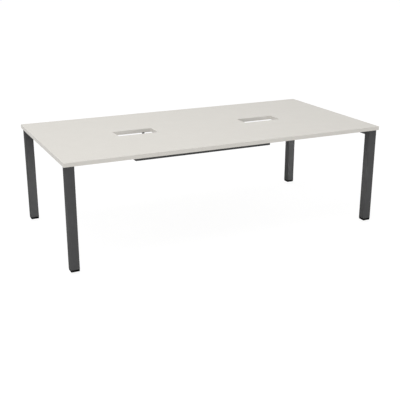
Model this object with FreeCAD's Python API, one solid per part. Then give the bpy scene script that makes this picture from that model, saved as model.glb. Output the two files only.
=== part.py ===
import FreeCAD
import Part

import math
import os

# Meeting table: an edged board with two cable ports, on two leg frames joined by beams, with a cable tray
# hung below and a levelling foot in each leg. Millimetres, +X along the table, +Y to the back, +Z up,
# origin on the floor under the middle of the board.

Vector = FreeCAD.Vector

# Whole table
table_length = 2400.0
table_width = 1200.0
table_height = 740.0

# Board and its edging
board_thickness = 28.0
edge_band_thickness = 2.0
edge_band_radius = 1.5

# Cable ports
port_length = 300.0
port_depth = 140.0
port_spacing = 1014.0
port_corner_radius = 8.0
port_band_thickness = 1.0
port_band_radius = 0.6

# Legs
leg_size = 60.0
leg_wall = 2.0
leg_corner_radius = 3.0
leg_inset = 12.0
head_plate_thickness = 3.0
head_plate_clearance = 0.1

# End rails
rail_width = 30.0
rail_height = 40.0
rail_wall = 2.0
rail_corner_radius = 3.0
rail_fixing_margin = 108.0

# Beams and their connectors
beam_width = 40.0
beam_height = 40.0
beam_wall = 2.0
beam_corner_radius = 3.0
beam_leg_gap = 178.0
beam_end_gap = 0.5
beam_fixing_margin = 427.5
connector_length = 90.0
connector_wall = 3.0
connector_corner_radius = 2.0
connector_clearance = 0.2

# Levelling feet
foot_travel = 15.0
glide_height = 12.5
glide_inset = 1.0
glide_corner_radius = 3.0
glide_chamfer = 1.5
glide_floor = 4.0
glide_recess_diameter = 30.0
glide_lip_thickness = 1.5
glide_lip_overhang = 1.2
key_hole_diameter = 8.0
stud_diameter = 10.0
stud_end = 5.0
stud_chamfer = 1.0
stud_socket_width = 5.0
stud_socket_depth = 3.0
collar_diameter = 18.0
collar_height = 4.0
collar_clearance = 0.3

# Leg plugs and their nuts
plug_flange_thickness = 3.0
plug_depth = 28.0
plug_wall = 3.0
plug_clearance = 0.2
plug_nut_width = 17.0
plug_nut_height = 8.0
plug_nut_clearance = 0.1
plug_nut_recess = 0.3

# Cable tray
tray_length = 1100.0
tray_width = 240.0
tray_height = 75.0
tray_sheet = 1.5
tray_bend_radius = 4.0
tray_lip = 10.0
tray_drop = 156.0
tray_slot_length = 40.0
tray_slot_width = 6.0
tray_slot_inset = 50.0
tray_slot_end_margin = 60.0
tray_slots_per_row = 9

# Tray hangers
hanger_width = 20.0
hanger_thickness = 2.0
hanger_flange = 45.0
hanger_bend_radius = 3.0
hanger_end_margin = 150.0
hanger_overlap = 52.0
hanger_screw_edge = 10.0
tray_bolt_edge = 14.0

# Tabletop screws and inserts
top_screw_diameter = 6.0
top_screw_head_diameter = 11.0
top_screw_head_height = 3.6
top_screw_grip = 13.0
top_screw_socket_width = 4.0
top_screw_socket_depth = 2.2
insert_diameter = 10.0
insert_length = 15.0
access_hole_diameter = 14.0

# Beam screws
beam_screw_diameter = 8.0
beam_screw_head_diameter = 14.0
beam_screw_head_height = 4.4
beam_screw_spacing = 40.0
beam_screw_socket_width = 5.0
beam_screw_socket_depth = 2.6

# Hanger screws
hanger_screw_diameter = 4.0
hanger_screw_head_diameter = 8.0
hanger_screw_head_height = 2.6
hanger_screw_grip = 14.0
hanger_screw_socket_width = 2.5
hanger_screw_socket_depth = 1.4

# Tray bolts and nuts
tray_bolt_diameter = 5.0
tray_bolt_head_diameter = 9.5
tray_bolt_head_height = 2.8
tray_bolt_end = 1.2
tray_bolt_socket_width = 3.0
tray_bolt_socket_depth = 1.6
tray_nut_width = 8.0
tray_nut_height = 4.0

# Fits and cuts
thread_clearance = 0.05
hole_clearance = 0.4
overrun = 5.0
least_radius = 0.5
match_tolerance = 0.01
fillet_limit_share = 0.9
slot_round_share = 0.98

# Places worked out from the sizes above
underside = table_height - board_thickness
leg_bottom = glide_height + plug_flange_thickness
leg_x = table_length / 2 - leg_inset - leg_size / 2
leg_y = table_width / 2 - leg_inset - leg_size / 2
rail_face_x = leg_x - leg_size / 2
rail_x = rail_face_x + rail_width / 2
rail_length = 2 * leg_y - leg_size
beam_y = leg_y - leg_size / 2 - beam_leg_gap - beam_width / 2
beam_length = 2 * (rail_face_x - beam_end_gap)
port_x = port_spacing / 2
hanger_x = tray_length / 2 - hanger_end_margin
tray_bottom = underside - tray_drop
tray_top = tray_bottom + tray_height
hanger_bottom = tray_top - hanger_overlap
hanger_flange_y = tray_width / 2 + hanger_thickness

# Ends and sides of the table: names with their direction along X or Y
ends = {"left": -1, "right": 1}
sides = {"front": -1, "back": 1}
corners = {f"{side}_{end}": (sx, sy) for side, sy in sides.items() for end, sx in ends.items()}

parts = {}


# Shape helpers

def rounded_rectangle(width, depth, radius):
    """A flat face in XY, centred on the origin, with round corners."""
    x = width / 2
    y = depth / 2
    diagonal = radius * math.sqrt(0.5)
    edges = []
    for turn, (a, b) in enumerate([(x, y), (y, x), (x, y), (y, x)]):
        centre = Vector(a - radius, b - radius, 0)
        line = Part.makeLine(Vector(a, radius - b, 0), Vector(a, b - radius, 0))
        arc = Part.Arc(
            Vector(a, b - radius, 0),
            centre + Vector(diagonal, diagonal, 0),
            Vector(a - radius, b, 0),
        ).toShape()
        for edge in (line, arc):
            edge.rotate(Vector(0, 0, 0), Vector(0, 0, 1), 90 * turn)
            edges.append(edge)
    return Part.Face(Part.Wire(edges))


def bar(width, depth, radius, length):
    """A bar with round corners that stands on the XY plane."""
    return rounded_rectangle(width, depth, radius).extrude(Vector(0, 0, length))


def tube(width, depth, wall, radius, length):
    """A rectangular tube that stands on the XY plane, with an even wall round its corners."""
    inner_radius = max(radius - wall, least_radius)
    bore = bar(width - 2 * wall, depth - 2 * wall, inner_radius, length + 2 * overrun)
    bore.translate(Vector(0, 0, -overrun))
    return bar(width, depth, radius, length).cut(bore)


def block(low, high):
    """A plain block between two corners."""
    size = Vector(*high) - Vector(*low)
    return Part.makeBox(size.x, size.y, size.z, Vector(*low))


def rod(diameter, length, x=0, y=0, z=0):
    """A round rod that stands at a place."""
    return Part.makeCylinder(diameter / 2, length, Vector(x, y, z))


def hexagon(across_flats, length):
    """A hexagonal bar that stands on the XY plane."""
    corner_radius = across_flats / math.sqrt(3)
    angles = [math.radians(60 * n) for n in range(7)]
    points = [Vector(math.cos(angle), math.sin(angle), 0) * corner_radius for angle in angles]
    return Part.Face(Part.makePolygon(points)).extrude(Vector(0, 0, length))


def placed(shape, x, y, z):
    """A copy of a shape at a place."""
    copy = shape.copy()
    copy.translate(Vector(x, y, z))
    return copy


def along_x(shape):
    """Turns a standing shape to run along +X, with its X turned to Y and its Y turned to Z."""
    return shape.rotated(Vector(0, 0, 0), Vector(1, 1, 1), 120)


def along_y(shape, direction):
    """Turns a standing shape to run along +Y or -Y, with its Y turned to Z."""
    return shape.rotated(Vector(0, 0, 0), Vector(1, 0, 0), -90 * direction)


def socket_screw(diameter, length, head_diameter, head_height, socket_width, socket_depth):
    """A button-head screw that stands with its shank up from the XY plane and its head below it."""
    head = Part.makeCylinder(head_diameter / 2, head_height, Vector(0, 0, -head_height))
    low_rim = [edge for edge in head.Edges if edge.CenterOfMass.z < 0 and len(edge.Vertexes) == 1]
    head = head.makeFillet(head_height / 2, low_rim)
    socket = placed(hexagon(socket_width, socket_depth + overrun), 0, 0, -head_height - overrun)
    return head.fuse(rod(diameter, length)).removeSplitter().cut(socket)


def nut(across_flats, height, thread_diameter):
    """A hexagon nut that stands on the XY plane."""
    return hexagon(across_flats, height).cut(rod(thread_diameter, height))


# Board, edging and cable ports

def rail_fixings():
    """Places of the screws that hold the board to the end rails."""
    far = rail_length / 2 - rail_fixing_margin
    return [(sx * rail_x, y) for sx in ends.values() for y in (-far, 0, far)]


def beam_fixings():
    """Places of the screws that hold the board to the beams."""
    far = beam_length / 2 - beam_fixing_margin
    return [(x, sy * beam_y) for sy in sides.values() for x in (-far, 0, far)]


def hanger_fixings(sx, sy):
    """Places of the two screws that hold one tray hanger to the board."""
    near = hanger_flange_y + hanger_screw_edge
    far = tray_width / 2 + hanger_flange - hanger_screw_edge
    return [(sx * hanger_x, sy * y) for y in (near, far)]


def board():
    """The board without its edging, with port openings, insert holes and pilot holes."""
    x = table_length / 2 - edge_band_thickness
    y = table_width / 2 - edge_band_thickness
    body = block((-x, -y, underside), (x, y, table_height))
    cutters = []
    for sx in ends.values():
        opening = bar(
            port_length + 2 * port_band_thickness,
            port_depth + 2 * port_band_thickness,
            port_corner_radius + port_band_thickness,
            board_thickness + 2 * overrun,
        )
        cutters.append(placed(opening, sx * port_x, 0, underside - overrun))
    for px, py in rail_fixings() + beam_fixings():
        cutters.append(rod(insert_diameter, insert_length + overrun, px, py, underside - overrun))
    pilot = hanger_screw_diameter + 2 * thread_clearance
    for sx, sy in corners.values():
        for px, py in hanger_fixings(sx, sy):
            cutters.append(rod(pilot, hanger_screw_grip + overrun, px, py, underside - overrun))
    return body.cut(cutters)


def long_edge_band(sy):
    """The band on the front or back, which runs the full length and is rounded on its outer edges."""
    outer = sy * table_width / 2
    inner = outer - sy * edge_band_thickness
    low = (-table_length / 2, min(outer, inner), underside)
    high = (table_length / 2, max(outer, inner), table_height)
    band = block(low, high)
    exposed = [edge for edge in band.Edges if sy * (edge.CenterOfMass.y - inner) > 0]
    return band.makeFillet(min(edge_band_radius, edge_band_thickness * fillet_limit_share), exposed)


def end_edge_band(sx):
    """The band on the left or right, which fits between the long bands."""
    outer = sx * table_length / 2
    inner = outer - sx * edge_band_thickness
    y = table_width / 2 - edge_band_thickness
    band = block((min(outer, inner), -y, underside), (max(outer, inner), y, table_height))
    middle = (outer + inner) / 2
    exposed = [
        edge for edge in band.Edges
        if sx * (edge.CenterOfMass.x - middle) > 0 and edge.Length > board_thickness
    ]
    return band.makeFillet(min(edge_band_radius, edge_band_thickness * fillet_limit_share), exposed)


def port_band(sx):
    """The band that lines one cable port, with its inner rims eased."""
    outer = bar(
        port_length + 2 * port_band_thickness,
        port_depth + 2 * port_band_thickness,
        port_corner_radius + port_band_thickness,
        board_thickness,
    )
    inner = bar(port_length, port_depth, port_corner_radius, board_thickness + 2 * overrun)
    band = outer.cut(placed(inner, 0, 0, -overrun))
    inside = Part.makeBox(
        port_length + port_band_thickness,
        port_depth + port_band_thickness,
        board_thickness,
        Vector(-port_length - port_band_thickness, -port_depth - port_band_thickness, 0) / 2,
    ).BoundBox
    rims = [edge for edge in band.Edges if inside.isInside(edge.BoundBox) and not edge.BoundBox.ZLength]
    rounded = band.makeFillet(min(port_band_radius, port_band_thickness * fillet_limit_share), rims)
    return placed(rounded, sx * port_x, 0, underside)


# Leg frames

def leg(sx, sy):
    """One square leg tube."""
    post = tube(leg_size, leg_size, leg_wall, leg_corner_radius, underside - leg_bottom)
    return placed(post, sx * leg_x, sy * leg_y, leg_bottom)


def head_plate(sx, sy):
    """The plate that closes the top of one leg."""
    size = leg_size - 2 * (leg_wall + head_plate_clearance)
    plate = bar(size, size, leg_corner_radius, head_plate_thickness)
    return placed(plate, sx * leg_x, sy * leg_y, underside - head_plate_thickness)


def fixing_holes(places, wall, height):
    """Screw holes through a tube's upper wall and wider access holes through its lower wall."""
    hole = top_screw_diameter + 2 * hole_clearance
    cutters = []
    for px, py in places:
        cutters.append(rod(hole, wall + 2 * overrun, px, py, underside - wall - overrun))
        cutters.append(rod(access_hole_diameter, wall + 2 * overrun, px, py, underside - height - overrun))
    return cutters


def end_rail(sx):
    """The rail between the two legs of one end, flush with their inner faces."""
    rail = along_y(tube(rail_width, rail_height, rail_wall, rail_corner_radius, rail_length), 1)
    rail = placed(rail, sx * rail_x, -rail_length / 2, underside - rail_height / 2)
    places = [place for place in rail_fixings() if place[0] * sx > 0]
    return rail.cut(fixing_holes(places, rail_wall, rail_height))


def beam_screw_places(sx, sy):
    """Places of the two screws that hold one end of a beam."""
    middle = rail_face_x - connector_length / 2
    return [(sx * (middle + step * beam_screw_spacing / 2), sy * beam_y) for step in (-1, 1)]


def beam(sy):
    """One long beam, with holes for the board's screws and for its own end screws."""
    body = along_x(tube(beam_width, beam_height, beam_wall, beam_corner_radius, beam_length))
    body = placed(body, -beam_length / 2, sy * beam_y, underside - beam_height / 2)
    places = [place for place in beam_fixings() if place[1] * sy > 0]
    cutters = fixing_holes(places, beam_wall, beam_height)
    hole = beam_screw_diameter + 2 * hole_clearance
    for sx in ends.values():
        for px, py in beam_screw_places(sx, sy):
            cutters.append(rod(hole, beam_wall + overrun, px, py, underside - beam_height - overrun))
    return body.cut(cutters)


def beam_connector(sx, sy):
    """The stub on an end rail that one beam end slides over."""
    play = 2 * (beam_wall + connector_clearance)
    stub = along_x(tube(
        beam_width - play, beam_height - play, connector_wall, connector_corner_radius, connector_length))
    low_x = min(sx * rail_face_x, sx * (rail_face_x - connector_length))
    stub = placed(stub, low_x, sy * beam_y, underside - beam_height / 2)
    thread = beam_screw_diameter + 2 * thread_clearance
    lower_wall = underside - beam_height + beam_wall + connector_clearance
    holes = [
        rod(thread, connector_wall + 2 * overrun, px, py, lower_wall - overrun)
        for px, py in beam_screw_places(sx, sy)
    ]
    return stub.cut(holes)


# Levelling feet

pocket_width = plug_nut_width + 2 * plug_nut_clearance
pocket_height = plug_nut_recess + plug_nut_height
bore_diameter = stud_diameter + 2 * hole_clearance
nut_bottom = glide_height + plug_nut_recess
collar_top = glide_floor + collar_height


def leg_plug(sx, sy):
    """The moulded plug in a leg's lower end: flange, skirt, ribs and a boss that traps the nut."""
    inner = leg_size - 2 * (leg_wall + plug_clearance)
    depth = plug_flange_thickness + plug_depth
    flange = bar(leg_size, leg_size, leg_corner_radius, plug_flange_thickness)
    skirt = tube(inner, inner, plug_wall, leg_corner_radius, depth)
    boss = rod(pocket_width * 2 / math.sqrt(3) + 2 * plug_wall, depth)
    reach = inner / 2 - plug_wall / 2
    ribs = [
        block((-reach, -plug_wall / 2, 0), (reach, plug_wall / 2, depth)),
        block((-plug_wall / 2, -reach, 0), (plug_wall / 2, reach, depth)),
    ]
    plug = flange.fuse([skirt, boss] + ribs).removeSplitter()
    plug = plug.cut([
        rod(bore_diameter, depth + 2 * overrun, 0, 0, -overrun),
        placed(hexagon(pocket_width, pocket_height + overrun), 0, 0, -overrun),
    ])
    return placed(plug, sx * leg_x, sy * leg_y, glide_height)


def plug_nut(sx, sy):
    """The captive nut in one leg plug, against the roof of its pocket."""
    shape = nut(plug_nut_width, plug_nut_height, stud_diameter + 2 * thread_clearance)
    return placed(shape, sx * leg_x, sy * leg_y, nut_bottom)


def levelling_stud(sx, sy):
    """The threaded stud of one foot, with the collar that the glide holds and a key socket in its end."""
    top = nut_bottom + plug_nut_height + foot_travel + stud_end
    shank = rod(stud_diameter, top - collar_top, 0, 0, collar_top)
    middle = (top + collar_top) / 2
    tip = [edge for edge in shank.Edges if edge.CenterOfMass.z > middle and len(edge.Vertexes) == 1]
    shank = shank.makeChamfer(stud_chamfer, tip)
    stud = rod(collar_diameter, collar_height, 0, 0, glide_floor).fuse(shank).removeSplitter()
    socket = placed(hexagon(stud_socket_width, stud_socket_depth + overrun), 0, 0, glide_floor - overrun)
    return placed(stud.cut(socket), sx * leg_x, sy * leg_y, 0)


def foot_glide(sx, sy):
    """The square glide of one foot, with a snap socket for the stud's collar and a key hole from below."""
    size = leg_size - 2 * glide_inset
    body = bar(size, size, glide_corner_radius, glide_height)
    sole = [edge for edge in body.Edges if edge.CenterOfMass.z == 0]
    body = body.makeChamfer(glide_chamfer, sole)
    socket_top = collar_top + collar_clearance
    lip_top = socket_top + glide_lip_thickness
    body = body.cut([
        rod(key_hole_diameter, glide_floor + overrun, 0, 0, -overrun),
        rod(collar_diameter + 2 * collar_clearance, socket_top - glide_floor, 0, 0, glide_floor),
        rod(collar_diameter - 2 * glide_lip_overhang, glide_lip_thickness, 0, 0, socket_top),
        rod(glide_recess_diameter, glide_height - lip_top + overrun, 0, 0, lip_top),
    ])
    return placed(body, sx * leg_x, sy * leg_y, 0)


# Cable tray and hangers

def tray_bolt_heights():
    """Heights of the two bolts in each hanger."""
    return (hanger_bottom + tray_bolt_edge, tray_top - tray_bolt_edge)


def cable_tray():
    """The folded sheet tray: a channel with inward lips, tie slots and bolt holes."""
    inner_radius = max(tray_bend_radius - tray_sheet, least_radius)
    inner_width = tray_width - 2 * tray_sheet
    inner_height = tray_height - tray_sheet
    full = along_x(bar(tray_width, 2 * tray_height, tray_bend_radius, tray_length))
    hollow = along_x(bar(inner_width, 2 * inner_height, inner_radius, tray_length + 2 * overrun))
    hollow.translate(Vector(-overrun, 0, 0))
    half = block((-overrun, -tray_width, -tray_height), (tray_length + overrun, tray_width, 0))
    channel = full.cut(hollow).common(half)
    lips = [
        block(
            (0, min(sy * tray_width / 2, sy * (tray_width / 2 - tray_lip)), -tray_sheet),
            (tray_length, max(sy * tray_width / 2, sy * (tray_width / 2 - tray_lip)), 0),
        )
        for sy in sides.values()
    ]
    tray = placed(channel.fuse(lips).removeSplitter(), -tray_length / 2, 0, tray_top)
    slot_end_radius = tray_slot_width / 2 * slot_round_share
    slot = bar(tray_slot_length, tray_slot_width, slot_end_radius, tray_sheet + 2 * overrun)
    slot_row = tray_length - 2 * tray_slot_end_margin - tray_slot_length
    slot_y = tray_width / 2 - tray_slot_inset
    cutters = []
    for sy in sides.values():
        for step in range(tray_slots_per_row):
            x = slot_row * (step / (tray_slots_per_row - 1) - 1 / 2)
            cutters.append(placed(slot, x, sy * slot_y, tray_bottom - overrun))
    hole = along_y(rod(tray_bolt_diameter + 2 * hole_clearance, tray_width + 2 * overrun), 1)
    for sx in ends.values():
        for z in tray_bolt_heights():
            cutters.append(placed(hole, sx * hanger_x, -tray_width / 2 - overrun, z))
    return tray.cut(cutters)


def tray_hanger(sx, sy):
    """A flat strap bent to an L: its flange under the board, its strap on the tray's wall."""
    x = hanger_width / 2
    flange_bottom = underside - hanger_thickness
    strap = block((-x, 0, hanger_bottom), (x, hanger_thickness, underside))
    flange = block((-x, 0, flange_bottom), (x, hanger_flange, underside))
    bent = strap.fuse(flange).removeSplitter()
    bends = {
        hanger_bend_radius: (0, underside),
        max(hanger_bend_radius - hanger_thickness, least_radius): (hanger_thickness, flange_bottom),
    }
    for radius, (bend_y, bend_z) in bends.items():
        bend = Vector(0, bend_y, bend_z)
        edges = [edge for edge in bent.Edges if edge.CenterOfMass.isEqual(bend, match_tolerance)]
        bent = bent.makeFillet(radius, edges)
    hole = along_y(rod(tray_bolt_diameter + 2 * hole_clearance, hanger_thickness + 2 * overrun), 1)
    cutters = [placed(hole, 0, -overrun, z) for z in tray_bolt_heights()]
    for _, py in hanger_fixings(1, 1):
        cutters.append(rod(
            hanger_screw_diameter + 2 * hole_clearance,
            hanger_thickness + 2 * overrun,
            0, py - tray_width / 2, underside - hanger_thickness - overrun,
        ))
    bent = bent.cut(cutters)
    if sy < 0:
        bent = bent.rotated(Vector(0, 0, 0), Vector(0, 0, 1), 180)
    return placed(bent, sx * hanger_x, sy * tray_width / 2, 0)


# Fasteners

def top_screw(wall, place):
    """A board screw with its head under a tube's upper wall."""
    screw = socket_screw(
        top_screw_diameter, wall + top_screw_grip, top_screw_head_diameter, top_screw_head_height,
        top_screw_socket_width, top_screw_socket_depth)
    return placed(screw, place[0], place[1], underside - wall)


def top_insert(place):
    """A threaded insert in the underside of the board."""
    bore = rod(top_screw_diameter + 2 * thread_clearance, insert_length)
    return placed(rod(insert_diameter, insert_length).cut(bore), place[0], place[1], underside)


def beam_screw(place):
    """A screw up through a beam's lower wall into the connector."""
    screw = socket_screw(
        beam_screw_diameter, beam_wall + connector_clearance + connector_wall, beam_screw_head_diameter,
        beam_screw_head_height, beam_screw_socket_width, beam_screw_socket_depth)
    return placed(screw, place[0], place[1], underside - beam_height)


def hanger_screw(place):
    """A screw up through a hanger's flange into the board."""
    screw = socket_screw(
        hanger_screw_diameter, hanger_thickness + hanger_screw_grip, hanger_screw_head_diameter,
        hanger_screw_head_height, hanger_screw_socket_width, hanger_screw_socket_depth)
    return placed(screw, place[0], place[1], underside - hanger_thickness)


def tray_bolt(sx, sy, z):
    """A bolt through a hanger and the tray's wall, with its head outside."""
    length = hanger_thickness + tray_sheet + tray_nut_height + tray_bolt_end
    bolt = socket_screw(
        tray_bolt_diameter, length, tray_bolt_head_diameter, tray_bolt_head_height,
        tray_bolt_socket_width, tray_bolt_socket_depth)
    return placed(along_y(bolt, -sy), sx * hanger_x, sy * hanger_flange_y, z)


def tray_nut(sx, sy, z):
    """The nut of one tray bolt, inside the tray's wall."""
    shape = nut(tray_nut_width, tray_nut_height, tray_bolt_diameter + 2 * thread_clearance)
    return placed(along_y(shape, -sy), sx * hanger_x, sy * (tray_width / 2 - tray_sheet), z)


# Assembly

parts["tabletop_board"] = board()
for side, sy in sides.items():
    parts[f"{side}_edge_band"] = long_edge_band(sy)
    parts[f"{side}_beam"] = beam(sy)
for end, sx in ends.items():
    parts[f"{end}_edge_band"] = end_edge_band(sx)
    parts[f"{end}_port_band"] = port_band(sx)
    parts[f"{end}_end_rail"] = end_rail(sx)
for corner, (sx, sy) in corners.items():
    parts[f"{corner}_leg"] = leg(sx, sy)
    parts[f"{corner}_head_plate"] = head_plate(sx, sy)
    parts[f"{corner}_beam_connector"] = beam_connector(sx, sy)
    parts[f"{corner}_leg_plug"] = leg_plug(sx, sy)
    parts[f"{corner}_levelling_stud"] = levelling_stud(sx, sy)
    parts[f"{corner}_foot_glide"] = foot_glide(sx, sy)
    parts[f"{corner}_tray_hanger"] = tray_hanger(sx, sy)
parts["cable_tray"] = cable_tray()

signs = list(corners.values())
groups = {
    "tabletop_screws": [top_screw(rail_wall, place) for place in rail_fixings()]
    + [top_screw(beam_wall, place) for place in beam_fixings()],
    "tabletop_inserts": [top_insert(place) for place in rail_fixings() + beam_fixings()],
    "beam_screws": [beam_screw(place) for sx, sy in signs for place in beam_screw_places(sx, sy)],
    "hanger_screws": [hanger_screw(place) for sx, sy in signs for place in hanger_fixings(sx, sy)],
    "tray_bolts": [tray_bolt(sx, sy, z) for sx, sy in signs for z in tray_bolt_heights()],
    "tray_nuts": [tray_nut(sx, sy, z) for sx, sy in signs for z in tray_bolt_heights()],
    "leg_plug_nuts": [plug_nut(sx, sy) for sx, sy in signs],
}
for name, solids in groups.items():
    parts[name] = Part.makeCompound(solids)

os.makedirs("parts", exist_ok=True)
for name, shape in parts.items():
    shape.exportStep(f"parts/{name}.step")
    print(f"{name}: {len(shape.Solids)} solids, {shape.Volume / 1000:.1f} cm3, valid {shape.isValid()}")
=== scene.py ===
import logging
import math
from collections.abc import Callable, Sequence
from dataclasses import dataclass, replace
from enum import Enum

import bpy
import numpy as np
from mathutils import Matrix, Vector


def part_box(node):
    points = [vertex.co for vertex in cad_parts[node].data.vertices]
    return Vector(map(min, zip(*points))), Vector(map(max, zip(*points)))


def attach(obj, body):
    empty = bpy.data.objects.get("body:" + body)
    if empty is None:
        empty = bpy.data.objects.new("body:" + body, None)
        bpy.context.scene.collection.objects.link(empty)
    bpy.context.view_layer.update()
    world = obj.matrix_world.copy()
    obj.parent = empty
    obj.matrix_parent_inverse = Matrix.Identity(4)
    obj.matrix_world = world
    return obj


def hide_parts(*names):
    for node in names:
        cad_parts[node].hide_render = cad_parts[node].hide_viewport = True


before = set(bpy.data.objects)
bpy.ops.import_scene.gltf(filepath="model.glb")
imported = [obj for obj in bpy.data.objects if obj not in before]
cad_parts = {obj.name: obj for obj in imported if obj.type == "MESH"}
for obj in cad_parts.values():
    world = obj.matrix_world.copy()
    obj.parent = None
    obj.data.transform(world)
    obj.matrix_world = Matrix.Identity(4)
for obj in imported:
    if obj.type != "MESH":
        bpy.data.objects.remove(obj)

# Meeting table, dressed: each class below makes one sub-assembly as surfaces worked out with numpy, around
# the CAD frame. Metres, +X along the table, +Y to the back, +Z up, origin on the floor under the board's
# middle.

log = logging.getLogger("meeting_table")
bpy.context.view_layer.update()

TABLE_BODY = "table"
QUARTER = math.pi / 2
FULL_TURN = 2 * math.pi
SQUARE, HEXAGON = 4, 6
UNIT = (0.0, 1.0)

# Fineness of the surfaces. A support is the distance from a flat's end to the extra station that keeps the
# shading of the flat even.
WELD_DECIMALS = 7
SHARP_ANGLE = math.radians(35)
FOLD_STEPS, FOLD_SUPPORT = 8, 0.0006
PATH_STEPS, PATH_SUPPORT = 10, 0.001
SECTION_STEPS, SECTION_SUPPORT = 6, 0.0004
CORNER_STEPS = 9


class Side(Enum):
    """The four sides of the table, by the start of their nodes' names."""

    FRONT = "front"
    BACK = "back"
    LEFT = "left"
    RIGHT = "right"

    @property
    def sign(self) -> int:
        """The side's direction along X or Y: -1 at the front and left, 1 at the back and right."""
        return -1 if self in (Side.FRONT, Side.LEFT) else 1


LONG_SIDES = (Side.FRONT, Side.BACK)
ENDS = (Side.LEFT, Side.RIGHT)


class Corner(Enum):
    """The four corners of the table: the long side and the end that meet there."""

    FRONT_LEFT = (Side.FRONT, Side.LEFT)
    FRONT_RIGHT = (Side.FRONT, Side.RIGHT)
    BACK_LEFT = (Side.BACK, Side.LEFT)
    BACK_RIGHT = (Side.BACK, Side.RIGHT)

    def __init__(self, side: Side, end: Side) -> None:
        """Keeps the corner's long side and end."""
        self.side = side
        self.end = end

    @property
    def prefix(self) -> str:
        """The start of the names of the corner's nodes."""
        return f"{self.side.value}_{self.end.value}"


class Run(Enum):
    """The direction a tube or sheet runs in: which of its own (along, u, v) axes lies on X, Y and Z."""

    X = (0, 1, 2)
    Y = (1, 0, 2)
    Z = (1, 2, 0)

    def place(self, local: np.ndarray) -> np.ndarray:
        """Puts points given as (along, u, v) on the table's X, Y and Z."""
        return local[:, list(self.value)]

    def local(self, place: np.ndarray) -> np.ndarray:
        """Gives a place or size on X, Y and Z as (along, u, v)."""
        return place[np.argsort(self.value)]


@dataclass(frozen=True)
class NodeBox:
    """The box of a CAD node at rest: its lowest and highest corners."""

    low: np.ndarray
    high: np.ndarray

    @staticmethod
    def of(node: str) -> "NodeBox":
        """The box of one node."""
        return NodeBox(*(np.array(corner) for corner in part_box(node)))

    @property
    def size(self) -> np.ndarray:
        """Its size along X, Y and Z."""
        return self.high - self.low

    @property
    def middle(self) -> np.ndarray:
        """The place of its middle."""
        return (self.low + self.high) / 2

    @property
    def plan_middle(self) -> np.ndarray:
        """The place of its middle in plan, at height zero."""
        return self.middle * (1.0, 1.0, 0.0)


# Surfaces

def merged(points: np.ndarray) -> tuple[np.ndarray, np.ndarray]:
    """Merges points that share a place.

    Args:
        points: The points.
    Returns:
        The numbers of the points to keep, and the new number of each point.
    """
    places = np.round(points, WELD_DECIMALS)
    _, first, back = np.unique(places, axis=0, return_index=True, return_inverse=True)
    return first, back.reshape(-1)


def distinct(marks: Sequence[np.ndarray]) -> np.ndarray:
    """Sorted values of several arrays, with near-equal ones taken once."""
    return np.unique(np.round(np.concatenate(marks), WELD_DECIMALS))


@dataclass
class Surface:
    """Points and the four corner numbers of each face."""

    points: np.ndarray
    quads: np.ndarray

    @staticmethod
    def joined(parts: Sequence["Surface"]) -> "Surface":
        """Lays several surfaces side by side in one.

        Args:
            parts: The surfaces to join.
        Returns:
            One surface with all their points and faces.
        """
        shifts = np.cumsum([0] + [len(part.points) for part in parts[:-1]])
        quads = [part.quads + shift for part, shift in zip(parts, shifts)]
        return Surface(np.concatenate([part.points for part in parts]), np.concatenate(quads))

    def moved(self, place: Sequence[float]) -> "Surface":
        """A copy of the surface, shifted by a step in X, Y and Z."""
        return Surface(self.points + np.asarray(place), self.quads)

    def welded(self) -> "Surface":
        """Merges points that share a place and drops points that no face uses.

        Returns:
            The same shape with closed seams.
        """
        first, back = merged(self.points)
        used, quads = np.unique(back[self.quads], return_inverse=True)
        return Surface(self.points[first[used]], quads.reshape(-1, 4))

    def outward(self) -> "Surface":
        """Turns all faces round if the closed surface encloses a negative volume.

        Returns:
            The surface with its faces pointing outwards.
        """
        a, b, c, d = (self.points[self.quads[:, n]] for n in range(4))
        volume = np.einsum("ij,ij->", a, np.cross(b, c)) + np.einsum("ij,ij->", a, np.cross(c, d))
        return self if volume > 0 else Surface(self.points, self.quads[:, ::-1])

    def faces(self) -> list[list[int]]:
        """Lists the faces, with a quad that has two equal corners as a triangle.

        Returns:
            Corner numbers of each face.
        """
        repeat = self.quads == np.roll(self.quads, 1, axis=1)
        count = repeat.sum(axis=1)
        whole = self.quads[count == 0]
        triangles = self.quads[count == 1][~repeat[count == 1]].reshape(-1, 3)
        return whole.tolist() + triangles.tolist()


def grid_quads(rows: int, columns: int, wrap_rows: bool = False, wrap_columns: bool = False) -> np.ndarray:
    """Corner numbers of the faces of a grid of points, row by row.

    Args:
        rows: Number of rows of points.
        columns: Number of points in a row.
        wrap_rows: Whether the last row joins the first.
        wrap_columns: Whether the last column joins the first.
    Returns:
        An array of four corner numbers per face.
    """
    row, column = np.meshgrid(
        np.arange(rows if wrap_rows else rows - 1),
        np.arange(columns if wrap_columns else columns - 1), indexing="ij")
    here, below = row * columns, (row + 1) % rows * columns
    right = (column + 1) % columns
    return np.stack([here + column, below + column, below + right, here + right], axis=-1).reshape(-1, 4)


def arc_chord(length: np.ndarray, heading: np.ndarray, curve: np.ndarray) -> np.ndarray:
    """The step from the start of an arc to its end.

    An arc of length d and curvature k has a chord of d sinc(k d / 2), which points along the mean of its
    first and last headings; a straight line is the case of k = 0.

    Args:
        length: The arcs' lengths.
        heading: Their first headings.
        curve: Their curvatures.
    Returns:
        The steps, two columns wide.
    """
    mean = heading + curve * length / 2
    size = length * np.sinc(curve * length / FULL_TURN)
    return np.stack([size * np.cos(mean), size * np.sin(mean)], axis=-1)


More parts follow.
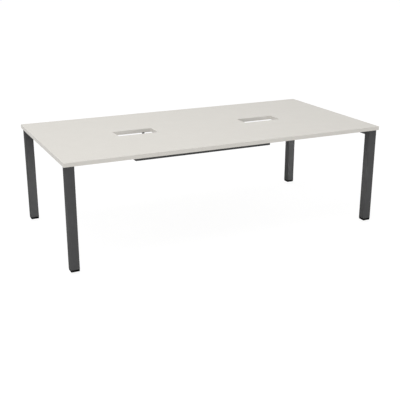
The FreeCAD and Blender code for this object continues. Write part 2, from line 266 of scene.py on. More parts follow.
@dataclass(frozen=True)
class FoldedLine:
    """A flat line of straight and round stretches laid end to end, as a sheet's edge looks after folding.

    Each stretch is its length and the angle that it turns by.
    """

    start: tuple[float, float]
    heading: float
    stretches: tuple[tuple[float, float], ...]

    SUPPORTED_FLAT = 3

    @staticmethod
    def box(width: float, depth: float, radius: float, clockwise: bool = False) -> "FoldedLine":
        """A closed rectangle with round corners about the origin.

        Args:
            width: Size along the first axis.
            depth: Size along the second axis.
            radius: Radius of the corners.
            clockwise: Whether the line runs clockwise, so that its right-hand side faces inwards.
        Returns:
            The line, starting along its lower or left side.
        """
        turn = -QUARTER if clockwise else QUARTER
        long, short = (depth, width) if clockwise else (width, depth)
        corner = (QUARTER * radius, turn)
        sides = [(long - 2 * radius, 0.0), corner, (short - 2 * radius, 0.0), corner]
        start = (-width / 2, radius - depth / 2) if clockwise else (radius - width / 2, -depth / 2)
        return FoldedLine(start, QUARTER if clockwise else 0.0, tuple(sides * 2))

    @property
    def ends(self) -> np.ndarray:
        """Distance along the line of the end of each stretch, from zero."""
        return np.concatenate([[0.0], np.cumsum([length for length, _ in self.stretches])])

    def stations(self, steps: int, support: float) -> np.ndarray:
        """Distances along the line that keep its bends smooth and its flats flat.

        Args:
            steps: Number of steps in each bend.
            support: Distance from a flat's end to its extra station; a flat of few supports has none.
        Returns:
            Sorted distances, the first and last at the line's ends.
        """
        ends = self.ends
        marks = [ends]
        for begin, finish, (length, turn) in zip(ends[:-1], ends[1:], self.stretches):
            if turn:
                marks.append(np.linspace(begin, finish, steps + 1))
            elif length > self.SUPPORTED_FLAT * support:
                marks.append(np.array([begin + support, finish - support]))
        return distinct(marks)

    def at(self, distance: np.ndarray) -> tuple[np.ndarray, np.ndarray]:
        """Points and right-hand normals at some distances along the line.

        Args:
            distance: Distances along the line.
        Returns:
            The points and the unit normals, each two columns wide.
        """
        lengths, turns = np.array(self.stretches).T
        ends = self.ends
        curves = turns / lengths
        headings = self.heading + np.concatenate([[0.0], np.cumsum(turns)])
        steps = arc_chord(lengths, headings[:-1], curves)
        knots = np.array(self.start) + np.concatenate([np.zeros((1, 2)), np.cumsum(steps, axis=0)])
        stretch = np.clip(np.searchsorted(ends, distance, side="right") - 1, 0, len(lengths) - 1)
        step = distance - ends[stretch]
        points = knots[stretch] + arc_chord(step, headings[stretch], curves[stretch])
        angle = headings[stretch] + curves[stretch] * step
        return points, np.stack([np.sin(angle), -np.cos(angle)], axis=-1)


@dataclass(frozen=True)
class Hole:
    """A round hole or a slot in a flat sheet: its middle and its size along and across the sheet."""

    along: float
    across: float
    length: float
    width: float

    MARGIN_SHARE = 0.35
    STEPS = 8
    RINGS = 2

    @staticmethod
    def round(along: float, across: float, width: float) -> "Hole":
        """A round hole, which is as long as it is wide."""
        return Hole(along, across, width, width)

    def cell(self) -> tuple[np.ndarray, np.ndarray]:
        """Frames the hole.

        Returns:
            Stations along and across the sheet, which go a margin past the hole.
        """
        middle = np.array([self.along, self.across])
        reach = np.array([self.length, self.width]) / 2 + self.MARGIN_SHARE * self.width
        return tuple(np.linspace(middle - reach, middle + reach, self.STEPS + 1).T)

    def rim(self, frame_points: np.ndarray) -> np.ndarray:
        """Points on the hole's rim that face the points of a frame around it.

        The hole is a core line with a round about it: each rim point lies half the hole's width from the
        nearest point of the core, on the way to its frame point.

        Args:
            frame_points: Points of the frame, two columns wide.
        Returns:
            One rim point for each frame point.
        """
        middle = np.array([self.along, self.across])
        half_core = (self.length - self.width) / 2
        offset = frame_points - middle
        core = np.clip(offset, (-half_core, 0.0), (half_core, 0.0))
        reach = offset - core
        reach *= self.width / 2 / np.linalg.norm(reach, axis=1, keepdims=True)
        return middle + core + reach


def pierced_sheet(along: np.ndarray, across: np.ndarray, holes: Sequence[Hole]) -> Surface:
    """A flat sheet as a grid of (along, across), with a ring of faces from each hole's rim to its frame.

    A ring's point is rim + v (frame - rim), for v from 0 at the rim to 1 at the frame.

    Args:
        along: Stations along the sheet.
        across: Stations across the sheet.
        holes: Holes in the sheet, whose frames don't overlap.
    Returns:
        The sheet, with points two columns wide.
    """
    cells = [hole.cell() for hole in holes]
    along = distinct([along] + [cell[0] for cell in cells])
    across = distinct([across] + [cell[1] for cell in cells])
    flat = np.stack(np.meshgrid(along, across, indexing="ij"), axis=-1)
    keep = np.ones((len(along) - 1, len(across) - 1), dtype=bool)
    share = np.linspace(0.0, 1.0, Hole.RINGS + 1)[:, None, None]
    patches = []
    for hole, (s, t) in zip(holes, cells):
        i, k = np.searchsorted(along, np.round(s[[0, -1]], WELD_DECIMALS))
        j, m = np.searchsorted(across, np.round(t[[0, -1]], WELD_DECIMALS))
        keep[i:k, j:m] = False
        edge = np.concatenate([flat[i:k, j], flat[k, j:m], flat[k:i:-1, m], flat[i, m:j:-1]])
        rim = hole.rim(edge)
        ring = rim + share * (edge - rim)
        patches.append(Surface(ring.reshape(-1, 2), grid_quads(len(share), len(edge), wrap_columns=True)))
    sheet = Surface(flat.reshape(-1, 2), grid_quads(len(along), len(across))[keep.ravel()])
    return Surface.joined([sheet] + patches)


def folded_sheet(
    line: FoldedLine, span: tuple[float, float], wall: float, run: Run, holes: Sequence[Hole],
    origin: tuple[float, float] = (0.0, 0.0),
) -> Surface:
    """A sheet with holes, folded along a line and given its thickness: a tube, a tray or a strap.

    The flat point (s, t) goes to s along the run and to the line's point at distance t across it. The inner
    face lies one wall's thickness inside, against the line's normal, and rims join the two faces.

    Args:
        line: The outer line of the cross-section, with its outer face on the right of its course.
        span: Where the sheet starts and ends along its run.
        wall: The sheet's thickness, below zero where the sheet lies on the right of its line.
        run: The direction that the sheet runs in.
        holes: Holes, placed by distance along the run and along the line.
        origin: The place of the line's own origin across the run.
    Returns:
        A closed surface with its faces outwards.
    """
    begin, finish = span
    ends = np.array([begin, begin + FOLD_SUPPORT, finish - FOLD_SUPPORT, finish])
    sheet = pierced_sheet(ends, line.stations(FOLD_STEPS, FOLD_SUPPORT), holes)
    along, across = sheet.points.T
    section, normal = line.at(across)
    outer = np.column_stack([along, section])
    inner = np.column_stack([along, section - wall * normal])
    first, back = merged(outer)
    quads = back[sheet.quads]
    count = len(first)
    edges = np.concatenate([quads[:, [n, (n + 1) % 4]] for n in range(4)])
    open_edge = ~np.isin(edges[:, 0] * count + edges[:, 1], edges[:, 1] * count + edges[:, 0])
    tail, head = edges[open_edge].T
    rims = np.column_stack([head, tail, tail + count, head + count])
    points = run.place(np.concatenate([outer[first], inner[first]]) + (0.0, *origin))
    return Surface(points, np.concatenate([quads, quads[:, ::-1] + count, rims])).welded().outward()


def carried_profile(path: FoldedLine, profile: FoldedLine, closed: bool) -> Surface:
    """A closed profile carried along a path in plan.

    The profile's point (u, v) at the path's point p with right-hand normal n goes to p + u n, at height v.

    Args:
        path: The path in plan.
        profile: The profile, with u outwards and v upwards, bulging outwards all round.
        closed: Whether the path comes back to its start; otherwise a fan about its middle closes each end.
    Returns:
        A closed surface with its faces outwards.
    """
    place, normal = path.at(path.stations(PATH_STEPS, PATH_SUPPORT))
    section, _ = profile.at(profile.stations(SECTION_STEPS, SECTION_SUPPORT)[:-1])
    rows, columns = len(place), len(section)
    plan = place[:, None, :] + section[None, :, :1] * normal[:, None, :]
    height = np.broadcast_to(section[None, :, 1:], (rows, columns, 1))
    points = np.concatenate([plan, height], axis=-1).reshape(-1, 3)
    parts = [grid_quads(rows, columns, wrap_columns=True)]
    if not closed:
        ring = np.arange(columns)
        onward = np.roll(ring, -1)
        hub = np.full(columns, rows * columns)
        last = (rows - 1) * columns
        parts += [
            np.column_stack([ring, onward, hub, hub]),
            np.column_stack([last + onward, last + ring, hub + 1, hub + 1])]
        points = np.concatenate([points, [points[:columns].mean(axis=0), points[last:].mean(axis=0)]])
    return Surface(points, np.concatenate(parts)).welded().outward()


def banding_profile(thickness: float, low: float, high: float, arris: float, hairline: float) -> FoldedLine:
    """The closed section of an edge band: flat at the back, with rounded arrises on its outer side.

    Args:
        thickness: The band's thickness.
        low: Height of its lower edge.
        high: Height of its upper edge.
        arris: Radius of the outer arrises.
        hairline: Radius of the inner arrises, which leave a hairline at the board.
    Returns:
        The section, from the middle of its back, with u zero on its outer face.
    """
    height = high - low
    back = (height / 2 - hairline, 0.0)
    inner, outer = (QUARTER * hairline, QUARTER), (QUARTER * arris, QUARTER)
    across = (thickness - hairline - arris, 0.0)
    stretches = (back, inner, across, outer, (height - 2 * arris, 0.0), outer, across, inner, back)
    return FoldedLine((-thickness, (low + high) / 2), -QUARTER, stretches)


@dataclass(frozen=True)
class Station:
    """One level of a turned or moulded piece: half its width across flats, corner radius and height."""

    half: float
    corner: float
    height: float

    @staticmethod
    def round(radius: float, height: float) -> "Station":
        """A round level, whose corner radius is all of its half width."""
        return Station(radius, radius, height)


def lofted(
    sides: int, stations: Sequence[Station], closed: bool,
    radius_change: Callable[[np.ndarray, np.ndarray], np.ndarray] | None = None,
) -> Surface:
    """Rounded polygons joined level by level.

    A polygon's corner is an arc of the corner radius about a point at (half - corner) / cos(pi / sides) from
    the axis, so a corner radius equal to the half width makes a circle.

    Args:
        sides: Number of the polygon's sides.
        stations: The levels in order.
        closed: Whether the last level joins the first; otherwise the first and last levels lie on the axis.
        radius_change: Change of radius as a function of angle and height, such as a thread.
    Returns:
        A closed surface about the Z axis with its faces outwards.
    """
    half, corner, height = np.array([[s.half, s.corner, s.height] for s in stations]).T[:, :, None]
    turn = FULL_TURN / sides
    middle = np.repeat(np.arange(sides) * turn + turn / 2, CORNER_STEPS)[None, :]
    angle = middle + np.tile(np.linspace(-turn / 2, turn / 2, CORNER_STEPS), sides)[None, :]
    reach = (half - corner) / math.cos(turn / 2)
    radius = corner + (radius_change(angle, height) if radius_change else 0.0)
    x = reach * np.cos(middle) + radius * np.cos(angle)
    y = reach * np.sin(middle) + radius * np.sin(angle)
    points = np.stack([x, y, np.broadcast_to(height, x.shape)], axis=-1).reshape(-1, 3)
    quads = grid_quads(len(stations), sides * CORNER_STEPS, wrap_rows=closed, wrap_columns=True)
    return Surface(points, quads).welded().outward()


# Shader nodes and shared effects

Socket = bpy.types.NodeSocket
Value = float | tuple[float, ...] | Socket
Inputs = dict[str | int, Value]


def grey(level: float) -> tuple[float, float, float, float]:
    """A grey as a colour socket takes it."""
    return (level, level, level, 1.0)


@dataclass(frozen=True)
class ShaderTree:
    """Adds nodes to one tree and links them as it goes."""

    tree: bpy.types.NodeTree

    MIX_FACTOR, MIX_FIRST, MIX_SECOND, MIX_RESULT = 0, 6, 7, 2

    def fill(self, node: bpy.types.Node, inputs: Inputs) -> None:
        """Sets or links a node's inputs.

        Args:
            node: The node.
            inputs: Numbers, colours or sockets for its inputs, by name or place.
        """
        for name, value in inputs.items():
            if isinstance(value, Socket):
                self.tree.links.new(value, node.inputs[name])
            else:
                node.inputs[name].default_value = value

    def add(
        self, kind: str, inputs: Inputs | None = None, **settings: str | bpy.types.NodeTree,
    ) -> bpy.types.Node:
        """Adds a node.

        Args:
            kind: Blender's name for the node.
            inputs: Numbers, colours or sockets for its inputs, by name or place.
            settings: Its own settings.
        Returns:
            The node.
        """
        node = self.tree.nodes.new(kind)
        for name, value in settings.items():
            setattr(node, name, value)
        self.fill(node, inputs or {})
        return node

    def math(self, operation: str, first: Value, second: Value) -> Socket:
        """Adds a piece of arithmetic and gives its result."""
        return self.add("ShaderNodeMath", {0: first, 1: second}, operation=operation).outputs[0]

    def mixed(self, factor: Value, first: Value, second: Value) -> Socket:
        """Adds a colour mix and gives its result."""
        inputs = {self.MIX_FACTOR: factor, self.MIX_FIRST: first, self.MIX_SECOND: second}
        return self.add("ShaderNodeMix", inputs, data_type="RGBA").outputs[self.MIX_RESULT]

    def ranged(self, value: Socket, source: tuple[float, float], target: tuple[Value, Value]) -> Socket:
        """Adds a clamped change of range.

        Args:
            value: The value to change.
            source: The range that it comes from.
            target: The range that it goes to.
        Returns:
            The changed value.
        """
        node = self.add("ShaderNodeMapRange", {
            "Value": value, "From Min": source[0], "From Max": source[1],
            "To Min": target[0], "To Max": target[1]})
        return node.outputs["Result"]

    def effect(self, effect: "Effect", inputs: Inputs) -> Socket:
        """Places a shared effect with its own values and gives its result."""
        return self.add("ShaderNodeGroup", inputs, node_tree=effect.group()).outputs[0]


class Effect(Enum):
    """The effects that several finishes share, each one node group, with the names of its number inputs."""

    CLOUDING = ("Scale",)
    RELIEF = ("Scale", "Roundness")
    HANDLING = ("Scale", "Reach", "Amount")

    def group(self) -> bpy.types.NodeTree:
        """The effect's node group, made the first time it is asked for.

        Returns:
            The group, with a Vector input, its number inputs and one output.
        """
        name = self.name.lower()
        found = bpy.data.node_groups.get(name)
        if found:
            return found
        tree = bpy.data.node_groups.new(name, "ShaderNodeTree")
        tree.interface.new_socket(name="Vector", in_out="INPUT", socket_type="NodeSocketVector")
        for number in self.value:
            tree.interface.new_socket(name=number, in_out="INPUT", socket_type="NodeSocketFloat")
        tree.interface.new_socket(name="Value", in_out="OUTPUT", socket_type="NodeSocketFloat")
        makers = {Effect.CLOUDING: clouding, Effect.RELIEF: relief, Effect.HANDLING: handling}
        value = makers[self](ShaderTree(tree), tree.nodes.new("NodeGroupInput").outputs)
        tree.links.new(value, tree.nodes.new("NodeGroupOutput").inputs["Value"])
        return tree


GroupInputs = bpy.types.NodeOutputs
CLOUD_DETAIL, CLOUD_ROUGHNESS, CLOUD_RANGE = 5.0, 0.6, (0.3, 0.7)
RELIEF_DETAIL, RELIEF_SMOOTHNESS = 3.0, 1.0
SCUFF_DETAIL, SCUFF_ROUGHNESS, SCUFF_RANGE = 7.0, 0.7, (0.56, 0.74)


def clouding(nodes: ShaderTree, source: GroupInputs) -> Socket:
    """Makes soft clouds, as in a sprayed, pressed or plated surface.

    Args:
        nodes: The group's tree.
        source: The group's inputs.
    Returns:
        A value from 0 to 1.
    """
    noise = nodes.add("ShaderNodeTexNoise", {
        "Vector": source["Vector"], "Scale": source["Scale"], "Detail": CLOUD_DETAIL,
        "Roughness": CLOUD_ROUGHNESS})
    return nodes.ranged(noise.outputs["Fac"], CLOUD_RANGE, UNIT)


def relief(nodes: ShaderTree, source: GroupInputs) -> Socket:
    """Makes fine relief: rounded cells of a sprayed coat or a moulded grain, broken up by a finer noise.

    Args:
        nodes: The group's tree.
        source: The group's inputs.
    Returns:
        A height, from the noise to the cells by Roundness.
    """
    place = {"Vector": source["Vector"], "Scale": source["Scale"]}
    cells = nodes.add(
        "ShaderNodeTexVoronoi", place | {"Smoothness": RELIEF_SMOOTHNESS}, feature="SMOOTH_F1")
    noise = nodes.add("ShaderNodeTexNoise", place | {"Detail": RELIEF_DETAIL})
    return nodes.ranged(source["Roundness"], UNIT, (noise.outputs["Fac"], cells.outputs["Distance"]))


def handling(nodes: ShaderTree, source: GroupInputs) -> Socket:
    """Makes faint scuffs that thin out up to Reach, as shoes and brooms leave them near the floor.

    Args:
        nodes: The group's tree.
        source: The group's inputs.
    Returns:
        A mask from 0 to Amount.
    """
    height = nodes.add("ShaderNodeSeparateXYZ", {"Vector": source["Vector"]}).outputs["Z"]
    scuffs = nodes.add("ShaderNodeTexNoise", {
        "Vector": source["Vector"], "Scale": source["Scale"], "Detail": SCUFF_DETAIL,
        "Roughness": SCUFF_ROUGHNESS})
    streaks = nodes.ranged(scuffs.outputs["Fac"], SCUFF_RANGE, (0.0, source["Amount"]))
    fade = nodes.ranged(nodes.math("DIVIDE", height, source["Reach"]), UNIT, (1.0, 0.0))
    return nodes.math("MULTIPLY", streaks, fade)


@dataclass(frozen=True)
class Finish:
    """One finish: its colours, gloss and relief, the slot name that starts its material's name, and its
    variant.
    """

    slot: str
    colour: tuple[float, float, float]
    shade: tuple[float, float, float]
    cloud_scale: float
    roughness: tuple[float, float]
    relief_scale: float
    relief_depth: float
    roundness: float
    metallic: float = 0.0
    specular: float = 0.5
    scuff_colour: tuple[float, float, float] = (0.2, 0.2, 0.2)
    scuff_reach: float = 0.1
    scuff_amount: float = 0.0
    variant: str = ""

    SCUFF_SCALE = 160.0
    FLECK_SHARE = 14.0
    TONE_RANGE = (0.4, 1.6)

    def material(self) -> bpy.types.Material:
        """The finish's material, made the first time it is asked for.

        Returns:
            A material whose colour, roughness and bump vary over the piece on Object coordinates.
        """
        name = f"{self.slot}{self.variant}_finish"
        found = bpy.data.materials.get(name)
        if found:
            return found
        material = bpy.data.materials.new(name)
        material.use_nodes = True
        nodes = ShaderTree(material.node_tree)
        vector = nodes.add("ShaderNodeTexCoord").outputs["Object"]
        clouds, flecks = (
            nodes.effect(Effect.CLOUDING, {"Vector": vector, "Scale": scale})
            for scale in (self.cloud_scale, self.cloud_scale * self.FLECK_SHARE))
        share = nodes.ranged(nodes.math("ADD", clouds, flecks), self.TONE_RANGE, UNIT)
        colour = nodes.mixed(share, (*self.colour, 1.0), (*self.shade, 1.0))
        if self.scuff_amount:
            scuffs = nodes.effect(Effect.HANDLING, {
                "Vector": vector, "Scale": self.SCUFF_SCALE, "Reach": self.scuff_reach,
                "Amount": self.scuff_amount})
            colour = nodes.mixed(scuffs, colour, (*self.scuff_colour, 1.0))
        height = nodes.effect(Effect.RELIEF, {
            "Vector": vector, "Scale": self.relief_scale, "Roundness": self.roundness})
        bump = nodes.add("ShaderNodeBump", {
            "Height": height, "Distance": self.relief_depth, "Strength": 1.0})
        nodes.fill(material.node_tree.nodes["Principled BSDF"], {
            "Base Color": colour, "Roughness": nodes.ranged(flecks, UNIT, self.roughness),
            "Normal": bump.outputs["Normal"], "Metallic": self.metallic, "Specular IOR Level": self.specular})
        return material


LAMINATE = Finish(
    slot="board_laminate", colour=(0.72, 0.695, 0.645), shade=(0.70, 0.675, 0.625), cloud_scale=9.0,
    roughness=(0.42, 0.5), relief_scale=1500.0, relief_depth=0.00002, roundness=0.3)
BANDING = Finish(
    slot="edge_band", colour=(0.770, 0.744, 0.693), shade=(0.754, 0.726, 0.673), cloud_scale=14.0,
    roughness=(0.36, 0.44), relief_scale=2200.0, relief_depth=0.00001, roundness=0.2)
# The port lining is the edge band's material made lighter: painted light, standing in for the floor's bounce
# light that the port walls lack.
PORT_BANDING_PAINTED_BOUNCE = replace(
    BANDING, colour=(0.850, 0.822, 0.768), shade=(0.834, 0.806, 0.750), variant="_port")
POWDER_COAT = Finish(
    slot="powder_coat", colour=(0.100, 0.100, 0.102), shade=(0.091, 0.091, 0.092), cloud_scale=25.0,
    roughness=(0.78, 0.88), relief_scale=1300.0, relief_depth=0.00005, roundness=0.7, specular=0.03,
    scuff_colour=(0.1, 0.1, 0.1), scuff_reach=0.2, scuff_amount=0.25)
MOULDED_BLACK = Finish(
    slot="black_plastic", colour=(0.004, 0.004, 0.004), shade=(0.006, 0.006, 0.006), cloud_scale=60.0,
    roughness=(0.7, 0.8), relief_scale=2600.0, relief_depth=0.00004, roundness=0.5, specular=0.03,
    scuff_colour=(0.05, 0.05, 0.048), scuff_reach=0.02, scuff_amount=0.25)
ZINC = Finish(
    slot="zinc_steel", colour=(0.60, 0.60, 0.58), shade=(0.50, 0.50, 0.49), cloud_scale=140.0,
    roughness=(0.26, 0.42), relief_scale=3000.0, relief_depth=0.00001, roundness=0.2, metallic=1.0)
BLACKENED = Finish(
    slot="black_screw", colour=(0.022, 0.022, 0.023), shade=(0.016, 0.016, 0.017), cloud_scale=160.0,
    roughness=(0.32, 0.46), relief_scale=3200.0, relief_depth=0.00001, roundness=0.3, metallic=0.4)


# Pieces

def add_object(name: str, data: bpy.types.ID) -> bpy.types.Object:
    """Puts a mesh, lamp or camera into the scene.

    Args:
        name: The object's name.
        data: The mesh, lamp or camera.
    Returns:
        The object.
    """
    made = bpy.data.objects.new(name, data)
    bpy.context.scene.collection.objects.link(made)
    return made


def add_piece(
    name: str, surface: Surface, finish: Finish, replaced: str = "", body: str = TABLE_BODY,
) -> None:
    """Puts a surface into the scene as a piece of the table.

    Args:
        name: The piece's name.
        surface: Its shape, in place.
        finish: Its finish.
        replaced: The CAD node that it stands for, if any.
        body: The body that it rides on.
    """
    mesh = bpy.data.meshes.new(name)
    mesh.from_pydata(surface.points.tolist(), [], surface.faces())
    mesh.shade_smooth()
    mesh.set_sharp_from_angle(angle=SHARP_ANGLE)
    mesh.materials.append(finish.material())
    piece = add_object(name, mesh)
    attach(piece, body)
    if replaced:
        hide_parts(replaced)
    log.info("%s: %d faces, %s", name, len(mesh.polygons), finish.slot)


def dress_node(node: str, finish: Finish) -> None:
    """Gives a CAD node that stays its finish.

    Args:
        node: The node's name.
        finish: The finish.
    """
    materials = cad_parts[node].data.materials
    materials.clear()
    materials.append(finish.material())
    log.info("%s: CAD shape, %s", node, finish.slot)


@dataclass
class Tabletop:
    """The board with its edge bands and the bands that line its two cable ports."""

    band_thickness: float = 0.002
    band_arris: float = 0.0015
    port_band_thickness: float = 0.001
    port_band_arris: float = 0.0006
    port_corner: float = 0.008
    hairline: float = 0.00015

    def build(self) -> None:
        """Dresses the board and makes all its bands."""
        dress_node("tabletop_board", LAMINATE)
        dress_node("tabletop_inserts", ZINC)
        for side in LONG_SIDES:
            self.add_edge_band(side)
        for end in ENDS:
            self.add_edge_band(end)
            self.add_port_band(end)

    def add_edge_band(self, side: Side) -> None:
        """Carries the band's section along one side of the board.

        The bands of the long sides turn round the board's corners, and those of the ends fit between them.

        Args:
            side: The side.
        """
        node = f"{side.value}_edge_band"
        box = NodeBox.of(node)
        length, depth, _ = box.size
        corner = (QUARTER * self.band_thickness, QUARTER)
        straight = (length - 2 * self.band_thickness, 0.0)
        stretches = (corner, straight, corner) if side in LONG_SIDES else ((depth, 0.0),)
        outer, inner = (box.low, box.high) if side.sign < 0 else (box.high, box.low)
        path = FoldedLine((outer[0], inner[1]), side.sign * QUARTER, stretches)
        section = banding_profile(
            self.band_thickness, box.low[2], box.high[2], self.band_arris, self.hairline)
        surface = carried_profile(path, section, closed=False)
        add_piece(f"{side.value}_edging", surface, BANDING, node)

    def add_port_band(self, end: Side) -> None:
        """Carries the thin band's section round one cable port.

        Args:
            end: The port's end of the table.
        """
        node = f"{end.value}_port_band"
        box = NodeBox.of(node)
        width, depth, _ = box.size - 2 * self.port_band_thickness
        path = FoldedLine.box(width, depth, self.port_corner, clockwise=True)
        section = banding_profile(
            self.port_band_thickness, box.low[2], box.high[2], self.port_band_arris, self.hairline)
        surface = carried_profile(path, section, closed=True).moved(box.plan_middle)
        # The port edging wears the lighter copy of the band: painted light for the bounce that reaches the
        # port walls.
        add_piece(f"{end.value}_port_edging", surface, PORT_BANDING_PAINTED_BOUNCE, node)


@dataclass(frozen=True)
class Tube:
    """A coated tube that fills the box of a CAD node."""

    node: str
    run: Run
    wall: float = 0.002
    corner: float = 0.003

    def line(self) -> FoldedLine:
        """Its cross-section, from its lower side."""
        _, width, depth = self.run.local(NodeBox.of(self.node).size)
        return FoldedLine.box(width, depth, self.corner)

    def build(self, name: str, holes: Sequence[Hole] = ()) -> None:
        """Folds the tube.

        Args:
            name: The piece's name.
            holes: Its holes, placed by X, Y or Z along the run and by distance along its line.
        """
        box = NodeBox.of(self.node)
        span = (self.run.local(box.low)[0], self.run.local(box.high)[0])
        _, u, v = self.run.local(box.middle)
        surface = folded_sheet(self.line(), span, self.wall, self.run, holes, (u, v))
        add_piece(name, surface, POWDER_COAT, self.node)


@dataclass
class Leg:
    """One leg: its square tube, with the plug in its lower end and the head plate in its upper end."""

    corner: Corner

    def build(self) -> None:
        """Makes the tube and dresses the plug and the head plate."""
        name = self.corner.prefix
        Tube(f"{name}_leg", Run.Z).build(f"{name}_leg_tube")
        dress_node(f"{name}_leg_plug", MOULDED_BLACK)
        dress_node(f"{name}_head_plate", POWDER_COAT)


@dataclass
class LevellingFoot:
    """The foot of one leg: a square glide, and the threaded stud that turns in it and in the leg's nut."""

    corner: Corner
    glide_corner: float = 0.003
    glide_chamfer: float = 0.0015
    glide_arris: float = 0.0006
    glide_floor: float = 0.004
    sole_corner: float = 0.00225
    key_hole: float = 0.004
    socket_radius: float = 0.0093
    socket_top: float = 0.0083
    lip_radius: float = 0.0078
    lip_top: float = 0.0098
    recess_radius: float = 0.015
    stud_radius: float = 0.005
    stud_chamfer: float = 0.001
    thread_pitch: float = 0.0015
    thread_depth: float = 0.0008
    thread_run_out: float = 0.0012
    collar_height: float = 0.004
    collar_arris: float = 0.001 / 3
    key_flat: float = 0.0025
    key_corner: float = 0.001 / 12
    key_depth: float = 0.003

    THREAD_STEPS = 10

    def build(self) -> None:
        """Makes the glide and the stud."""
        self.add_glide()
        self.add_stud()

    def add_glide(self) -> None:
        """Lofts the square glide, from its key hole round the sole, sides and rim to the stud's socket."""
        name = self.corner.prefix
        node = f"{name}_foot_glide"
        box = NodeBox.of(node)
        half, top = box.size[0] / 2, box.high[2]
        corner, chamfer, soft = self.glide_corner, self.glide_chamfer, self.glide_arris
        ease = soft * (1 - math.cos(QUARTER / 2))
        stations = [
            Station.round(self.key_hole, 0.0),
            Station(half - chamfer, self.sole_corner, 0.0),
            Station(half, corner, chamfer),
            Station(half, corner, chamfer + soft),
            Station(half, corner, top - 2 * soft),
            Station(half, corner, top - soft),
            Station(half - ease, corner - ease, top - ease),
            Station(half - soft, corner - soft, top),
            Station.round(self.recess_radius + soft, top),
            Station.round(self.recess_radius, top - soft),
            Station.round(self.recess_radius, self.lip_top),
            Station.round(self.socket_radius, self.lip_top),
            Station.round(self.lip_radius, self.lip_top - soft),
            Station.round(self.lip_radius, self.socket_top),
            Station.round(self.socket_radius, self.socket_top),
            Station.round(self.socket_radius, self.glide_floor),
            Station.round(self.key_hole, self.glide_floor),
        ]
        surface = lofted(SQUARE, stations, closed=True).moved(box.plan_middle)
        add_piece(f"{name}_glide_block", surface, MOULDED_BLACK, node, f"{name}_glide")

    def add_stud(self) -> None:
        """Lofts the stud: key socket, collar, and a shank whose radius follows a helical thread."""
        name = self.corner.prefix
        node = f"{name}_levelling_stud"
        box = NodeBox.of(node)
        bottom, top = box.low[2], box.high[2]
        collar, collar_top, soft = box.size[0] / 2, bottom + self.collar_height, self.collar_arris
        first, last = collar_top + soft, top - self.stud_chamfer

        def thread(angle: np.ndarray, height: np.ndarray) -> np.ndarray:
            """The thread: a triangle wave of height less the angle's share of the pitch, faded at its ends.

            Args:
                angle: Angles round the stud.
                height: Heights on it.
            Returns:
                The change of the stud's radius.
            """
            phase = (height / self.thread_pitch - angle / FULL_TURN) % 1.0
            wave = np.abs(2 * phase - 1)
            fade = np.clip(np.minimum(height - first, last - height) / self.thread_run_out, 0.0, 1.0)
            return -self.thread_depth * wave * fade

        shank = np.append(np.arange(first, last, self.thread_pitch / self.THREAD_STEPS), last)
        stations = [
            Station.round(0.0, bottom + self.key_depth),
            Station(self.key_flat, self.key_corner, bottom + self.key_depth),
            Station(self.key_flat, self.key_corner, bottom),
            Station.round(collar - soft, bottom),
            Station.round(collar, bottom + soft),
            Station.round(collar, collar_top - soft),
            Station.round(collar - soft, collar_top),
            Station.round(self.stud_radius + soft, collar_top),
            *[Station.round(self.stud_radius, height) for height in shank],
            Station.round(self.stud_radius - self.stud_chamfer, top),
            Station.round(0.0, top),
        ]
        surface = lofted(HEXAGON, stations, closed=False, radius_change=thread).moved(box.plan_middle)
        add_piece(f"{name}_threaded_stud", surface, ZINC, node, f"{name}_stud")


@dataclass
class BoardFixings:
    """Where the board's screws pass through a tube's upper wall, with wider key holes in its lower wall."""

    screw_hole: float = 0.0068
    key_hole: float = 0.014

    def holes(self, line: FoldedLine, places: Sequence[float]) -> list[Hole]:
        """Holes in the middle of a box line's upper and lower sides.

        Args:
            line: The tube's cross-section, from its lower side.
            places: Places along the tube.
        Returns:
            A key hole and a screw hole at each place.
        """
        ends = line.ends
        lower, upper = ends[0:2].mean(), ends[4:6].mean()
        wide = [Hole.round(place, lower, self.key_hole) for place in places]
        return wide + [Hole.round(place, upper, self.screw_hole) for place in places]


